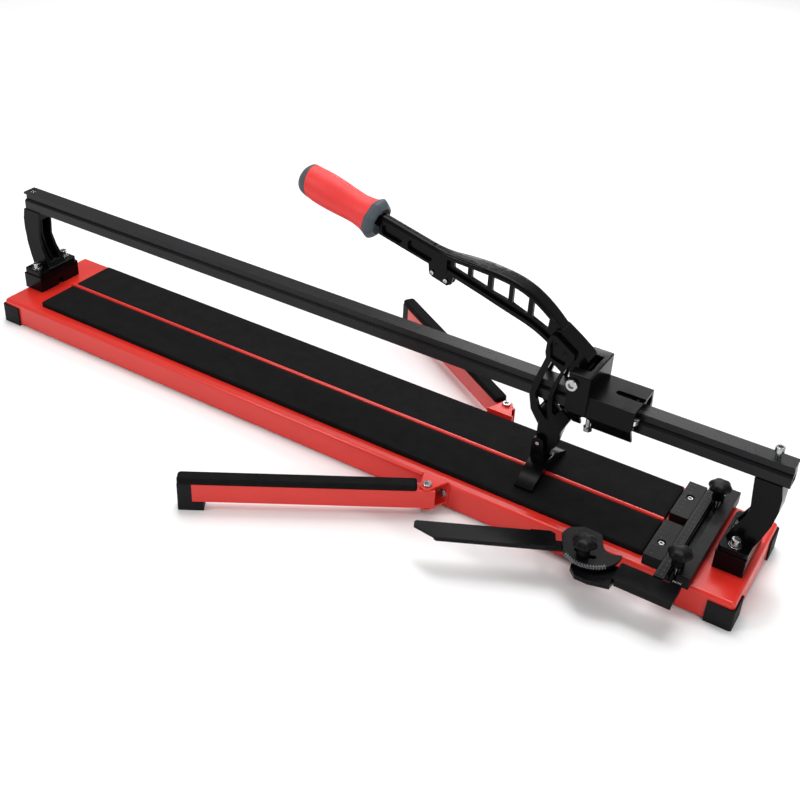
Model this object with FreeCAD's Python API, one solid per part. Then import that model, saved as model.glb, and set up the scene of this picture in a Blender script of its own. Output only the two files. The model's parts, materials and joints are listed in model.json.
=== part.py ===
import FreeCAD, Part
import math
import os

# Manual tile cutter with a sheet steel base, one overhead rail and a hinged scoring lever.
# Millimetres. +X runs along the base towards the measuring fence, +Y to the back, +Z up.
# The origin is on the floor under the centre of the base.

V = FreeCAD.Vector

# Base
BASE_LENGTH = 1400.0
BASE_WIDTH = 206.0
BASE_TOP = 46.0
BASE_BOTTOM = 3.0
SHEET = 2.0
BEND_RADIUS = 6.0
PAD_LEFT = -622.0
PAD_RIGHT = 558.0
FRONT_PAD_OUTER = 83.0
REAR_PAD_OUTER = 90.0
PAD_INNER = 4.6
PAD_TOP = 55.0
RIDGE_HALF = 3.5
RIDGE_TOP = 57.0
FOOT_CAP_PROUD = 3.0
FOOT_CAP_LEG = 40.0
FOOT_CAP_HEIGHT = 36.0

# Rail and its end brackets
RAIL_LENGTH = 1430.0
RAIL_HALF = 13.0
RAIL_BOTTOM = 192.0
RAIL_TOP = 226.0
GROOVE_HALF = 8.0
GROOVE_BOTTOM = 211.0
GROOVE_TOP = 222.0
LEFT_BLOCK_X = -681.0
RIGHT_BLOCK_X = 669.0
BLOCK_LENGTH = 44.0
BLOCK_WIDTH = 94.0
BLOCK_TOP = 76.0
PLATE_TOP = 85.0
BRACKET_BOLT_Y = 33.0
LEFT_SCREW_X = -704.0
STOP_BOLT_X = 688.0

# Carriage
CARRIAGE_LEFT = 400.0
CARRIAGE_RIGHT = 498.0
CARRIAGE_WALL = 5.0
CARRIAGE_TOP = 238.0
CARRIAGE_BULGE = 208.0
CARRIAGE_BOTTOM = 185.0
ROOF_HALF = 36.5
BULGE_HALF = 41.0
SKIRT_HALF = 30.0
BOX_TOP = 271.0
BOX_RIGHT = 430.0
BOX_LEFT = 397.5
CHEEK_HALF = 43.0
CHEEK_INNER = 23.2
BEARING_XS = (429.0, 489.0)
BEARING_RADIUS = 12.5
BEARING_Y = GROOVE_HALF + 0.3 + BEARING_RADIUS
BEARING_Z0 = 213.0
BEARING_Z1 = 220.0
AXLE_RADIUS = 4.0
LEFT_AXLE_HEAD_Z = 172.5
RIGHT_AXLE_HEAD_Z = 199.0
PIVOT_X = 405.0
PIVOT_Z = 254.0
PIVOT_RADIUS = 5.0

# Lever and grip
NECK_X = 57.0
NECK_Z = 384.5
HANDLE_TILT = 14.2
NECK_HALF = 9.0
FLANGE_HALF = 15.5
WEB_HALF = 3.0
HUB_RADIUS = 14.0
HUB_HALF = 12.0

# Yoke, breaker foot and scoring wheel
YOKE_INNER = 15.5
YOKE_OUTER = 22.5
POCKET_FLOOR = 18.0
FOOT_PIN_X = 354.0
FOOT_PIN_Z = 113.0
FOOT_PIN_RADIUS = 3.0
FOOT_BOTTOM = 57.2
WHEEL_X = 356.5
WHEEL_Z = 69.0
WHEEL_RADIUS = 11.0
WHEEL_AXLE_RADIUS = 2.0
YOKE_SCREWS = ((363.0, 291.0), (378.0, 282.0))

# Fence, ruler and angle guide
FENCE_LEFT = 562.0
FENCE_MID = 590.0
FENCE_RIGHT = 636.0
FENCE_HALF = 97.0
CHANNEL_HALF = 112.0
FENCE_TOP = 63.5
CHANNEL_TOP = 66.0
CLAMP_KNOBS = {"front_clamp_knob": (612.0, -95.0), "rear_clamp_knob": (611.0, 78.0)}
KNOB_RADIUS = 17.0
GUIDE_PIVOT = (497.0, -125.0)
GUIDE_KNOB = (495.0, -149.0)
BLADE_ANGLE = 207.5
BLADE_LENGTH = 249.0

# Side support arms
ARM_HINGE_X = 234.0
ARM_HINGE_Y = 129.0
ARM_ANGLE = 32.5
ARM_PAD_TOP = 58.0
ARM_LENGTH = 372.0
ARM_HALF = 11.0
TUBE_BOTTOM = 16.0
TUBE_TOP = 49.0
TUBE_WALL = 1.6
HINGE_BOLT_RADIUS = 4.0


def box(x0, x1, y0, y1, z0, z1):
    return Part.makeBox(x1 - x0, y1 - y0, z1 - z0, V(x0, y0, z0))


def cylinder(radius, x, y, z0, z1):
    return Part.makeCylinder(radius, z1 - z0, V(x, y, z0), V(0, 0, 1))


def cylinder_y(radius, x, z, y0, y1):
    return Part.makeCylinder(radius, y1 - y0, V(x, y0, z), V(0, 1, 0))


def ring(outer, inner, x, y, z0, z1):
    return cylinder(outer, x, y, z0, z1).cut(cylinder(inner, x, y, z0, z1))


def prism_xy(points, z0, z1):
    wire = Part.makePolygon([V(x, y, z0) for x, y in points + points[:1]])
    return Part.Face(wire).extrude(V(0, 0, z1 - z0))


def prism_xz(points, y0, y1):
    wire = Part.makePolygon([V(x, y0, z) for x, z in points + points[:1]])
    return Part.Face(wire).extrude(V(0, y1 - y0, 0))


def prism_yz(points, x0, x1):
    wire = Part.makePolygon([V(x0, y, z) for y, z in points + points[:1]])
    return Part.Face(wire).extrude(V(x1 - x0, 0, 0))


def join(shapes):
    result = shapes[0]
    for shape in shapes[1:]:
        result = result.fuse(shape)
    return result.removeSplitter()


def mirror_x(shape):
    return shape.mirror(V(0, 0, 0), V(1, 0, 0))


def mirror_y(shape):
    return shape.mirror(V(0, 0, 0), V(0, 1, 0))


def hexagon(across_flats, x, y, z0, z1):
    radius = across_flats / math.sqrt(3.0)
    points = [(x + radius * math.cos(math.radians(60 * i)), y + radius * math.sin(math.radians(60 * i)))
              for i in range(6)]
    return prism_xy(points, z0, z1)


def round_edges(shape, radius, keep):
    edges = [edge for edge in shape.Edges if keep(edge)]
    return shape.makeFillet(radius, edges)


def is_vertical(edge):
    first, last = edge.Vertexes[0].Point, edge.Vertexes[-1].Point
    return abs(first.x - last.x) < 0.01 and abs(first.y - last.y) < 0.01


def edge_in_plane(edge, level):
    return all(abs(vertex.Point.z - level) < 0.01 for vertex in edge.Vertexes)


def socket_screw(x, y, under_head, head_radius, head_height, shank_radius, end):
    head = cylinder(head_radius, x, y, under_head, under_head + head_height)
    top_edges = [edge for edge in head.Edges if edge_in_plane(edge, under_head + head_height)]
    head = head.makeChamfer(0.6, top_edges)
    socket = hexagon(head_radius, x, y, under_head + head_height * 0.45, under_head + head_height + 1)
    return join([head.cut(socket), cylinder(shank_radius, x, y, end, under_head + 0.5)])


def hex_nut(across_flats, x, y, z0, z1, bore):
    return hexagon(across_flats, x, y, z0, z1).cut(cylinder(bore, x, y, z0, z1))


# Base

def bolt_places():
    return [(x, row * BRACKET_BOLT_Y) for x in (LEFT_BLOCK_X, RIGHT_BLOCK_X) for row in (-1, 1)]


def fence_screw_places():
    return [(576.0, -60.0), (576.0, 60.0)]


def hinge_bolt_places():
    return [222.0, 248.0]


def base_tray():
    half_x, half_y = BASE_LENGTH / 2, BASE_WIDTH / 2
    outer = box(-half_x, half_x, -half_y, half_y, BASE_BOTTOM, BASE_TOP)
    outer = round_edges(outer, BEND_RADIUS, lambda e: is_vertical(e) or edge_in_plane(e, BASE_TOP))
    in_x, in_y, ceiling = half_x - SHEET, half_y - SHEET, BASE_TOP - SHEET
    inner = box(-in_x, in_x, -in_y, in_y, BASE_BOTTOM - 1, ceiling)
    inner = round_edges(inner, BEND_RADIUS - SHEET, lambda e: is_vertical(e) or edge_in_plane(e, ceiling))
    tray = outer.cut(inner)
    for x, y in bolt_places():
        tray = tray.cut(cylinder(4.3, x, y, 30, 50))
    for x, y in fence_screw_places():
        tray = tray.cut(cylinder(2.5, x, y, 30, 50))
    for x in hinge_bolt_places():
        tray = tray.cut(cylinder_y(3.0, x, 29.0, -110, 110))
    return tray


def corner_foot(tray):
    corner_x = BASE_LENGTH / 2 + FOOT_CAP_PROUD
    corner_y = BASE_WIDTH / 2 + FOOT_CAP_PROUD
    leg = 12.0
    end_x, end_y = corner_x - FOOT_CAP_LEG, corner_y - FOOT_CAP_LEG
    block = box(end_x, corner_x, end_y, corner_y, 0, FOOT_CAP_HEIGHT)
    upright = [e for e in block.Edges if is_vertical(e)]
    outer = [e for e in upright if e.Vertexes[0].X > end_x + 1 and e.Vertexes[0].Y > end_y + 1]
    block = block.makeFillet(4.0, outer)
    pocket = box(end_x - 1, corner_x - leg, end_y - 1, corner_y - leg, 3.0, FOOT_CAP_HEIGHT + 1)
    return block.cut(pocket).cut(tray)


def corner_feet(tray):
    foot = corner_foot(tray)
    left = mirror_x(foot)
    return Part.makeCompound([foot, mirror_y(foot), left, mirror_y(left)])


def breaker_ridge():
    body = box(PAD_LEFT - 6, PAD_RIGHT, -RIDGE_HALF, RIDGE_HALF, BASE_TOP, RIDGE_TOP - RIDGE_HALF)
    start = V(PAD_LEFT - 6, 0, RIDGE_TOP - RIDGE_HALF)
    crown = Part.makeCylinder(RIDGE_HALF, PAD_RIGHT - PAD_LEFT + 6, start, V(1, 0, 0))
    return join([body, crown])


def front_pad():
    return box(PAD_LEFT, PAD_RIGHT, -FRONT_PAD_OUTER, -PAD_INNER, BASE_TOP, PAD_TOP)


def rear_pad():
    return box(PAD_LEFT, PAD_RIGHT, PAD_INNER, REAR_PAD_OUTER, BASE_TOP, PAD_TOP)


# End brackets and rail

def spacer_block():
    """Block for the +X end, drawn about x = 0."""
    half = BLOCK_LENGTH / 2
    block = box(-half, half, -BLOCK_WIDTH / 2, BLOCK_WIDTH / 2, BASE_TOP, BLOCK_TOP)
    block = round_edges(block, 1.5, is_vertical)
    block = block.cut(box(-half - 1, -half + 5, -5, 5, BASE_TOP - 1, BASE_TOP + 12))
    for row in (-1, 1):
        block = block.cut(cylinder(4.3, 0, row * BRACKET_BOLT_Y, BASE_TOP - 1, BLOCK_TOP + 1))
    return block


def bracket(screw_offset):
    """Cast bracket for the +X end, drawn about x = 0: foot plate, hollow curved column and middle rib."""
    plate = box(-21, 22, -45, 45, BLOCK_TOP, PLATE_TOP)
    plate = round_edges(plate, 6.0, is_vertical)
    outline = [(-19, PLATE_TOP - 1), (-12, 98), (-2, 118), (4, 140), (1, 170), (-1, RAIL_BOTTOM),
               (37, RAIL_BOTTOM),
               (41, 172), (41, 150), (37, 125), (28, 98), (22, PLATE_TOP - 1)]
    column = prism_xz(outline, -21, 21)
    taper = prism_yz([(-21, 80), (21, 80), (16, 140), (15, 200), (-15, 200), (-16, 140)], -40, 60)
    column = column.common(taper)
    pocket = [(-26, 92), (5, 98), (15, 118), (23, 140), (21, 176), (-26, 176)]
    for y0, y1 in ((-11.5, -2), (2, 11.5)):
        column = column.cut(prism_xz(pocket, y0, y1))
    rib_edge = [(-26, 92), (-4, 98), (7, 118), (13, 140), (11, 176), (-26, 176)]
    body = join([plate, column.cut(prism_xz(rib_edge, -3, 3))])
    for row in (-1, 1):
        body = body.cut(cylinder(4.3, 0, row * BRACKET_BOLT_Y, BLOCK_TOP - 1, PLATE_TOP + 1))
    body = body.cut(cylinder(3.6, -14.5, 0, BLOCK_TOP - 1, PLATE_TOP + 1))
    return body.cut(cylinder(4.0, screw_offset, 0, RAIL_BOTTOM - 16, RAIL_BOTTOM + 1))


def at_right_end(shape):
    return shape.translated(V(RIGHT_BLOCK_X, 0, 0))


def at_left_end(shape):
    return mirror_x(shape).translated(V(LEFT_BLOCK_X, 0, 0))


def rail_outline():
    half = [(RAIL_HALF, RAIL_BOTTOM), (RAIL_HALF, GROOVE_BOTTOM - 3), (GROOVE_HALF + 1.5, GROOVE_BOTTOM),
            (GROOVE_HALF, GROOVE_BOTTOM), (GROOVE_HALF, GROOVE_TOP), (RAIL_HALF, GROOVE_TOP),
            (RAIL_HALF, RAIL_TOP)]
    return half + [(-y, z) for y, z in reversed(half)]


def rail():
    end = RAIL_LENGTH / 2
    body = prism_yz(rail_outline(), -end, end)
    body = body.cut(box(-end - 1, end + 1, -9, 9, RAIL_BOTTOM + 3, GROOVE_BOTTOM - 5))
    body = body.cut(cylinder(4.0, LEFT_SCREW_X, 0, RAIL_BOTTOM - 1, RAIL_TOP + 1))
    body = body.cut(cylinder(6.6, LEFT_SCREW_X, 0, RAIL_TOP - 6, RAIL_TOP + 1))
    return body.cut(cylinder(4.0, STOP_BOLT_X, 0, RAIL_BOTTOM - 1, RAIL_TOP + 1))


def rail_end_screw():
    return socket_screw(LEFT_SCREW_X, 0, RAIL_TOP - 6, 6.2, 4.6, 4.0, RAIL_BOTTOM - 14)


def rail_stop_bolt():
    return socket_screw(STOP_BOLT_X, 0, RAIL_TOP + 9, 6.5, 8.0, 4.0, RAIL_BOTTOM - 14)


def bracket_bolts():
    bolts = [socket_screw(x, y, PLATE_TOP + 4, 6.5, 8.0, 4.0, 34.0) for x, y in bolt_places()]
    return Part.makeCompound(bolts)


def bracket_washers():
    pieces = []
    for x, y in bolt_places():
        pieces.append(ring(9.5, 4.1, x, y, PLATE_TOP, PLATE_TOP + 1.8))
        pieces.append(ring(6.6, 4.1, x, y, PLATE_TOP + 1.8, PLATE_TOP + 4))
    return Part.makeCompound(pieces)


def bracket_nuts():
    return Part.makeCompound([hex_nut(13.0, x, y, BASE_TOP - SHEET - 6.5, BASE_TOP - SHEET, 4.0)
                              for x, y in bolt_places()])


# Carriage

def carriage_section():
    wall = CARRIAGE_WALL
    half = [(ROOF_HALF - wall, CARRIAGE_TOP - wall), (BULGE_HALF - wall, CARRIAGE_BULGE),
            (SKIRT_HALF - wall, CARRIAGE_BOTTOM), (SKIRT_HALF, CARRIAGE_BOTTOM),
            (BULGE_HALF, CARRIAGE_BULGE), (ROOF_HALF, CARRIAGE_TOP)]
    return half + [(-y, z) for y, z in reversed(half)]


def carriage_hollow():
    """Outline of the space inside the channel under the pivot box."""
    wall = CARRIAGE_WALL
    half = [(ROOF_HALF - wall, CARRIAGE_TOP - wall), (BULGE_HALF - wall, CARRIAGE_BULGE),
            (BULGE_HALF - wall, 200)]
    return half + [(-y, z) for y, z in reversed(half)]


def bearing_places():
    return [(x, side * BEARING_Y) for x in BEARING_XS for side in (-1, 1)]


def pivot_box():
    """Two thick cheeks and a right wall, open to the left for the yoke."""
    upper = box(BOX_LEFT, BOX_RIGHT, -CHEEK_HALF, CHEEK_HALF, CARRIAGE_BULGE, BOX_TOP)
    upper = round_edges(upper, 2.0, lambda e: is_vertical(e) or edge_in_plane(e, BOX_TOP))
    room = box(BOX_LEFT - 1, BOX_RIGHT - 8, -CHEEK_INNER, CHEEK_INNER, CARRIAGE_TOP, BOX_TOP + 1)
    return upper.cut(room).cut(prism_yz(carriage_hollow(), BOX_LEFT - 1, BOX_RIGHT + 1))


def skirt_notches():
    """Slanted left ends of the skirts and the openings round the left bearing bolts."""
    slant = prism_xz([(CARRIAGE_LEFT - 1, 207), (402, 207), (408, 184), (CARRIAGE_LEFT - 1, 184)], -60, 60)
    x = BEARING_XS[0]
    opening = join([cylinder_y(8.5, x, 196, -60, 60), box(x - 8.5, x + 8.5, -60, 60, 184, 196)])
    return join([slant, opening])


def carriage_housing():
    """Channel over the rail with a pivot box on top that is open to the left."""
    channel = prism_yz(carriage_section(), CARRIAGE_LEFT, CARRIAGE_RIGHT)
    body = join([channel, pivot_box()]).cut(skirt_notches())
    slot = join([cylinder(5.5, 461, 0, 228, 240), box(461, CARRIAGE_RIGHT + 1, -5.5, 5.5, 228, 240)])
    body = body.cut(slot)
    for x, y in bearing_places():
        body = body.cut(cylinder(AXLE_RADIUS, x, y, CARRIAGE_TOP - CARRIAGE_WALL - 1, CARRIAGE_TOP - 1.5))
    return body.cut(cylinder_y(PIVOT_RADIUS, PIVOT_X, PIVOT_Z, -50, 50))


def bearing(x, y):
    body = ring(BEARING_RADIUS, AXLE_RADIUS + 0.05, x, y, BEARING_Z0, BEARING_Z1)
    for z0, z1 in ((BEARING_Z0 - 1, BEARING_Z0 + 0.6), (BEARING_Z1 - 0.6, BEARING_Z1 + 1)):
        body = body.cut(ring(9.2, 6.0, x, y, z0, z1))
    return body


def bearing_axle_bolts():
    pieces = []
    for x, y in bearing_places():
        head_bottom = LEFT_AXLE_HEAD_Z if x == BEARING_XS[0] else RIGHT_AXLE_HEAD_Z
        head = hexagon(12.0, x, y, head_bottom, head_bottom + 6)
        pieces.append(join([head, cylinder(AXLE_RADIUS, x, y, head_bottom + 5, CARRIAGE_TOP - 1.5)]))
    return Part.makeCompound(pieces)


def bearing_spacers():
    top = CARRIAGE_TOP - CARRIAGE_WALL
    spacers = [ring(6.0, AXLE_RADIUS, x, y, BEARING_Z1 + 0.3, top) for x, y in bearing_places()]
    return Part.makeCompound(spacers)


def bearing_lock_nuts():
    return Part.makeCompound([hex_nut(12.0, x, y, BEARING_Z0 - 6.3, BEARING_Z0 - 0.3, AXLE_RADIUS)
                              for x, y in bearing_places()])


def pivot_bolt():
    head = cylinder_y(9.0, PIVOT_X, PIVOT_Z, -CHEEK_HALF - 5.5, -CHEEK_HALF)
    rim = [edge for edge in head.Edges if all(v.Y < -CHEEK_HALF - 5 for v in edge.Vertexes)]
    head = head.makeChamfer(0.8, rim)
    socket = turned_hexagon(9.0, -CHEEK_HALF - 7, -CHEEK_HALF - 2.5)
    shank = cylinder_y(PIVOT_RADIUS, PIVOT_X, PIVOT_Z, -CHEEK_HALF - 1, CHEEK_HALF + 10)
    return join([head.cut(socket), shank])


def turned_hexagon(across_flats, y0, y1):
    """Hexagonal prism along Y, centred on the lever pivot."""
    radius = across_flats / math.sqrt(3.0)
    corners = [math.radians(60 * i) for i in range(6)]
    points = [(PIVOT_X + radius * math.cos(t), PIVOT_Z + radius * math.sin(t)) for t in corners]
    return prism_xz(points, y0, y1)


def pivot_nut():
    nut = turned_hexagon(17.0, CHEEK_HALF, CHEEK_HALF + 8)
    return nut.cut(cylinder_y(PIVOT_RADIUS, PIVOT_X, PIVOT_Z, CHEEK_HALF - 1, CHEEK_HALF + 9))


def pivot_bushes():
    inner = CHEEK_INNER
    pieces = []
    for y0, y1 in ((-inner, -HUB_HALF - 0.3), (HUB_HALF + 0.3, inner)):
        bush = cylinder_y(8.0, PIVOT_X, PIVOT_Z, y0, y1)
        pieces.append(bush.cut(cylinder_y(PIVOT_RADIUS, PIVOT_X, PIVOT_Z, y0, y1)))
    return Part.makeCompound(pieces)


# Lever

LEVER_TOP = [(148, 377.2), (160, 374.4), (175, 372.2), (198, 371.6), (225, 371.4), (261, 369), (288, 364.5),
             (316, 354), (340, 338.5), (368, 313.5)]
LEVER_BOTTOM = [(148, 347), (241, 321), (284, 308), (316, 298), (346, 282.5), (368, 266)]
WINDOWS = [[(184, 361), (207, 360), (207, 342.5), (184, 349.5)],
           [(214, 360), (240.3, 357.5), (240.3, 334.8), (214, 342.5)],
           [(248.3, 358.5), (275.4, 354), (275.4, 325.7), (248.3, 331.6)],
           [(282.3, 351.5), (307.5, 346), (307, 314.1), (282.3, 323.5)],
           [(315.5, 340), (342.5, 322), (341, 301.3), (315.5, 312.5)]]
FLANGE_PLAN = [(140, 7.0), (177, 10.0), (199, 12.5), (235, 14.5), (343, 14.5), (366, 12.0), (372, 12.0)]
TAIL_WEB = [(358, 318), (392, 290), (408, 262), (405, 241), (394, 245), (358, 274)]
BEAM = [(360, 313), (366, 314), (389, 299), (410, 283.5), (413, 279), (413, 266), (404, 262), (386, 274),
        (362, 294)]


def curve_xz(points, y):
    spline = Part.BSplineCurve()
    spline.interpolate([V(x, y, z) for x, z in points])
    return spline.toShape()


def between_curves(top, bottom, y0, y1):
    """Solid between a top and a bottom curve that share their first and last X side."""
    upper = curve_xz(top, y0)
    lower = curve_xz(bottom, y0)
    right = Part.LineSegment(V(top[-1][0], y0, top[-1][1]), V(bottom[-1][0], y0, bottom[-1][1])).toShape()
    left = Part.LineSegment(V(bottom[0][0], y0, bottom[0][1]), V(top[0][0], y0, top[0][1])).toShape()
    wire = Part.Wire(Part.__sortEdges__([upper, right, lower, left]))
    return Part.Face(wire).extrude(V(0, y1 - y0, 0))


def lowered(points, depth):
    return [(x, z - depth) for x, z in points]


def handle_axis_point(distance):
    """Point on the handle axis, at a distance from the collar towards the free end."""
    tilt = math.radians(HANDLE_TILT)
    return V(NECK_X - distance * math.cos(tilt), 0, NECK_Z + distance * math.sin(tilt))


def handle_direction():
    tilt = math.radians(HANDLE_TILT)
    return V(-math.cos(tilt), 0, math.sin(tilt))


def neck():
    """Tapering handle stem with two pockets on each side, a top ridge and a thin bottom flange."""
    start, end = handle_axis_point(0), handle_axis_point(-122)
    half = 15.5
    outline = [(start.x, start.z + half), (end.x, end.z + half), (end.x, end.z - half),
               (start.x, start.z - half)]
    body = prism_xz(outline, -NECK_HALF, NECK_HALF)
    lengthwise = [e for e in body.Edges if abs(e.Vertexes[0].Y - e.Vertexes[-1].Y) < 0.01 and e.Length > 60]
    upper = [e for e in lengthwise if max(v.Z for v in e.Vertexes) > start.z]
    body = body.makeFillet(6.5, upper)
    for first, last in ((5, 42), (52, 96)):
        a, b = handle_axis_point(-first), handle_axis_point(-last)
        pocket = [(a.x, a.z + 5), (b.x, b.z + 5), (b.x, b.z - 11.5), (a.x, a.z - 11.5)]
        for y0, y1 in ((-NECK_HALF - 1, -NECK_HALF + 5.5), (NECK_HALF - 5.5, NECK_HALF + 1)):
            cutter = prism_xz(pocket, y0, y1)
            cutter = round_edges(cutter, 6.0, lambda e: abs(e.Vertexes[0].Y - e.Vertexes[-1].Y) > 1)
            body = body.cut(cutter)
    return body


def flange_plan():
    half = [(x, -y) for x, y in FLANGE_PLAN]
    return prism_xy(half + [(x, y) for x, y in reversed(FLANGE_PLAN)], 200, 420)


def lever_web():
    web = between_curves(LEVER_TOP, LEVER_BOTTOM, -WEB_HALF, WEB_HALF)
    for window in WINDOWS:
        hole = prism_xz(window, -WEB_HALF - 1, WEB_HALF + 1)
        hole = round_edges(hole, 2.5, lambda e: abs(e.Vertexes[0].Y - e.Vertexes[-1].Y) > 1)
        web = web.cut(hole)
    return web


def lever_casting():
    """Arched I-section from the neck to a square beam that ends in the pivot hub."""
    top_flange = between_curves(LEVER_TOP, lowered(LEVER_TOP, 8), -20, 20).common(flange_plan())
    long_edges = [e for e in top_flange.Edges if e.Length > 60 and e.BoundBox.YLength < 12]
    crown = [e for e in long_edges if e.BoundBox.ZMax > 371]
    top_flange = top_flange.makeFillet(4.5, [e for e in crown if e.BoundBox.ZMin > 312])
    bottom_flange = between_curves([(x, z + 7) for x, z in LEVER_BOTTOM], LEVER_BOTTOM, -8, 8)
    tail = prism_xz(TAIL_WEB, -HUB_HALF, HUB_HALF)
    beam = prism_xz(BEAM, -FLANGE_HALF, FLANGE_HALF)
    hub = cylinder_y(HUB_RADIUS, PIVOT_X, PIVOT_Z, -HUB_HALF, HUB_HALF)
    tang = Part.makeCylinder(8.0, 142, handle_axis_point(-4), handle_direction())
    body = join([lever_web(), top_flange, bottom_flange, tail, beam, hub, neck(), tang]).cut(yoke_screws())
    return body.cut(cylinder_y(PIVOT_RADIUS + 0.05, PIVOT_X, PIVOT_Z, -30, 30))


def turned_on_handle(profile):
    """Solid of revolution about the handle axis, from (distance, radius) points."""
    points = [V(0, 0, distance) for distance in (profile[0][0],)]
    points += [V(radius, 0, distance) for distance, radius in profile]
    points += [V(0, 0, profile[-1][0])]
    edges = [Part.LineSegment(points[0], points[1]).toShape()]
    spline = Part.BSplineCurve()
    spline.interpolate(points[1:-1])
    edges.append(spline.toShape())
    edges.append(Part.LineSegment(points[-2], points[-1]).toShape())
    edges.append(Part.LineSegment(points[-1], points[0]).toShape())
    solid = Part.Face(Part.Wire(edges)).revolve(V(0, 0, 0), V(0, 0, 1), 360)
    solid.Placement = FreeCAD.Placement(handle_axis_point(0), FreeCAD.Rotation(V(0, 0, 1), handle_direction()))
    return solid


def tang_hole():
    return Part.makeCylinder(8.0, 158, handle_axis_point(-20), handle_direction())


def handle_grip():
    profile = [(20, 27.5), (29, 25.4), (42, 24.3), (58, 24.9), (76, 26.3), (97, 27.3), (112, 26.8), (127, 25.2)]
    return turned_on_handle(profile).cut(tang_hole())


def grip_ends(lever):
    collar = turned_on_handle([(2, 22.5), (6, 26.4), (10, 31.0), (14.5, 32.6), (20, 28.8)]).cut(tang_hole())
    cap = turned_on_handle([(127, 25.3), (136, 24.0), (144, 20.2), (149, 13.4), (151, 2.0)])
    return Part.makeCompound([collar.cut(lever), cap.cut(tang_hole())])


def wheel_clip(lever):
    outline = [(143, 348), (145, 330), (150, 326.5), (176, 319), (183, 323), (186, 338)]
    clip = prism_xz(outline, -6.5, 6.5)
    wheel_slot = prism_xz([(140, 336), (152, 344), (182, 335), (190, 320), (150, 320)], -2.2, 2.2)
    return clip.cut(wheel_slot).cut(lever).cut(clip_screws())


def clip_screws():
    pieces = []
    for x, z in ((150.5, 333.5), (174.0, 327.0)):
        pieces.append(join([cylinder_y(3.4, x, z, -9.0, -6.5), cylinder_y(1.6, x, z, -7.0, 6.5)]))
    return Part.makeCompound(pieces)


# Yoke, breaker foot and wheel

YOKE_OUTLINE = [(351, 296), (355.6, 306), (363, 307.5), (395, 286.5), (394, 276), (383, 256), (376, 233),
                (370, 206), (373, 180), (378, 178), (387, 189.5), (402, 179), (387, 145), (372, 140), (357, 148),
                (339, 174), (334, 198), (340, 229), (352, 268), (350, 277)]
YOKE_WINDOW = [(361, 264), (352, 238), (343, 202), (351, 180), (364, 166), (371, 164), (365, 178), (363, 203),
               (369, 230), (377, 253)]
YOKE_HEAD = [(351, 296), (350, 277), (353, 268), (383, 260), (394, 276), (395, 286.5), (363, 307.5),
             (355.6, 306)]
YOKE_POCKET = [(356, 291), (360, 300), (368, 301), (388, 286), (381, 264), (359, 270)]
YOKE_BLOCK = [(343, 168), (357, 148), (372, 140), (387, 145), (400, 174), (376, 172), (364, 164), (350, 172)]
TONGUE = [(347, 150), (347, 96), (368, 96), (379, 110), (387, 146)]


def yoke(lever):
    """Two arms straddling the rail, a head bolted round the lever and a tongue with the wheel holder."""
    cheeks = []
    for y0, y1 in ((-YOKE_OUTER, -YOKE_INNER), (YOKE_INNER, YOKE_OUTER)):
        cheeks.append(prism_xz(YOKE_OUTLINE, y0, y1).cut(prism_xz(YOKE_WINDOW, y0 - 1, y1 + 1)))
    block = prism_xz(YOKE_BLOCK, -YOKE_OUTER, YOKE_OUTER)
    head = prism_xz(YOKE_HEAD, -YOKE_OUTER, YOKE_OUTER)
    tongue = prism_xz(TONGUE, -6.5, 6.5)
    holder = box(347.5, 366.5, -6.5, 6.5, 64.5, 97)
    body = join(cheeks + [block, head, tongue, holder])
    for y0, y1 in ((-YOKE_OUTER - 1, -POCKET_FLOOR), (POCKET_FLOOR, YOKE_OUTER + 1)):
        body = body.cut(prism_xz(YOKE_POCKET, y0, y1))
    body = body.cut(lever).cut(yoke_screws())
    body = body.cut(box(345, 370, -1.8, 1.8, 60, WHEEL_Z + WHEEL_RADIUS + 1.5))
    body = body.cut(cylinder_y(WHEEL_AXLE_RADIUS, WHEEL_X, WHEEL_Z, -10, 10))
    return body.cut(cylinder_y(FOOT_PIN_RADIUS, FOOT_PIN_X, FOOT_PIN_Z, -20, 20))


def yoke_screws():
    reach = POCKET_FLOOR + 1
    return Part.makeCompound([cylinder_y(2.5, x, z, -reach, reach) for x, z in YOKE_SCREWS])


def yoke_pins():
    pin = cylinder_y(FOOT_PIN_RADIUS, FOOT_PIN_X, FOOT_PIN_Z, -16.5, 16.5)
    axle = cylinder_y(WHEEL_AXLE_RADIUS, WHEEL_X, WHEEL_Z, -6.5, 6.5)
    return Part.makeCompound([pin, axle])


def cutting_wheel():
    profile = [V(WHEEL_AXLE_RADIUS + 0.05, 0, -1.5), V(6.0, 0, -1.5), V(WHEEL_RADIUS, 0, 0), V(6.0, 0, 1.5),
               V(WHEEL_AXLE_RADIUS + 0.05, 0, 1.5)]
    wire = Part.makePolygon(profile + profile[:1])
    wheel = Part.Face(wire).revolve(V(0, 0, 0), V(0, 0, 1), 360)
    wheel.Placement = FreeCAD.Placement(V(WHEEL_X, 0, WHEEL_Z), FreeCAD.Rotation(V(0, 0, 1), V(0, 1, 0)))
    return wheel


def breaker_foot():
    """Saddle that presses on the tile on both sides of the score line."""
    half = [(10, 67), (40, FOOT_BOTTOM), (61, FOOT_BOTTOM), (61, 61), (56, 64), (15, 84)]
    section = half + [(-y, z) for y, z in reversed(half)]
    saddle = prism_yz(section, 344, 373.5)
    ears = []
    for y0, y1 in ((-14.5, -7.5), (7.5, 14.5)):
        ears.append(cylinder_y(9.5, FOOT_PIN_X, FOOT_PIN_Z, y0, y1))
        ears.append(prism_xz([(344.5, 113), (344.5, 80), (366, 80), (363.5, 113)], y0, y1))
    body = join([saddle] + ears)
    body = body.cut(box(340, 371, -7.5, 7.5, 50, 130))
    return body.cut(cylinder_y(FOOT_PIN_RADIUS + 0.05, FOOT_PIN_X, FOOT_PIN_Z, -20, 20))


# Fence and guides

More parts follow.
